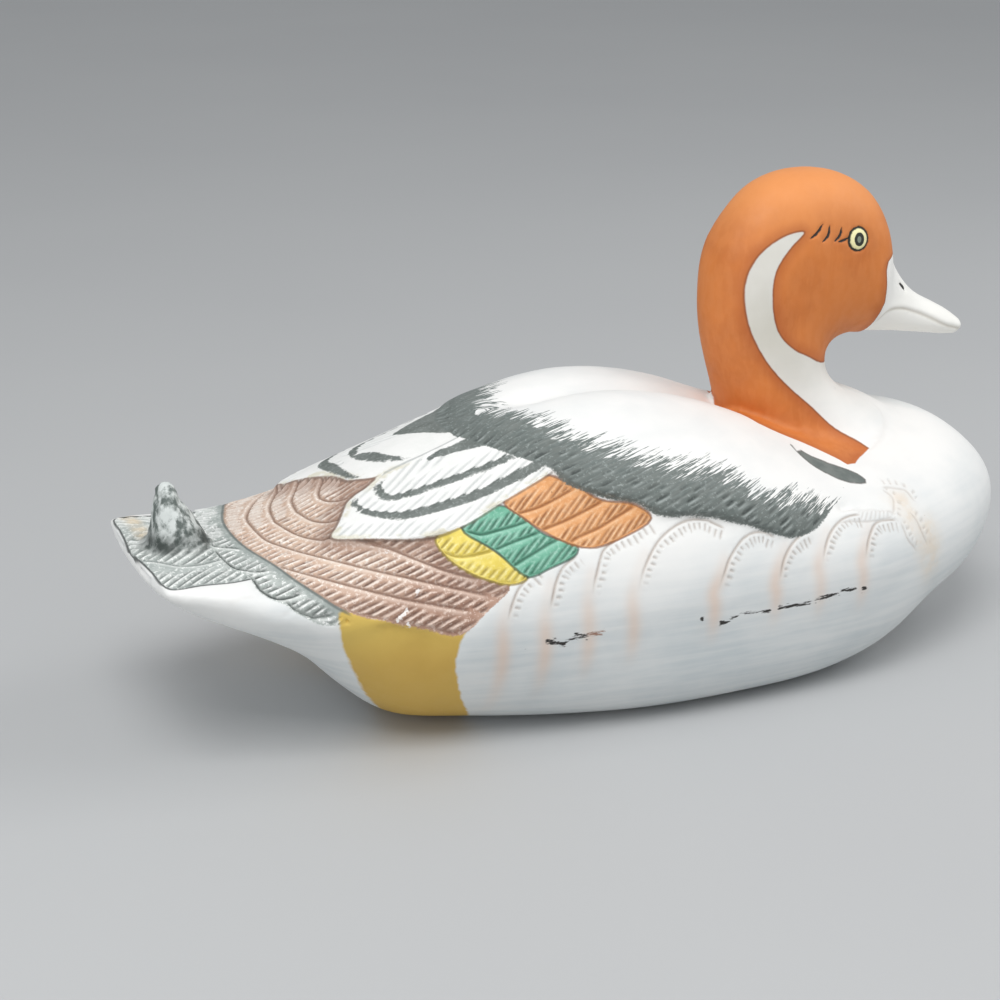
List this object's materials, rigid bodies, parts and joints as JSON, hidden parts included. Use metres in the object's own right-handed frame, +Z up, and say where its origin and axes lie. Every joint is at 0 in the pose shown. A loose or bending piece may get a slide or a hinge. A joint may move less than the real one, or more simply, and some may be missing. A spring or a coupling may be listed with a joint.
{
  "type": "porcelain duck decoy",
  "caption": "Hollow bisque duck figurine in the shape of a hunting decoy, with a raised head, folded carved wings, a flat fanned tail and a curled tail feather.",
  "frame": {"origin": "on the plane of the flat foot, under the middle of the decoy's length and width", "axes": "+X forwards, from the tail to the bill; +Y to the duck's left; +Z up"},
  "size_m": [0.3069, 0.134, 0.1601],
  "materials": {
    "bisque": "matte, unglazed, hand-painted"
  },
  "bodies": {
    "root": {"duck_decoy": "bisque"}
  },
  "joints": []
}
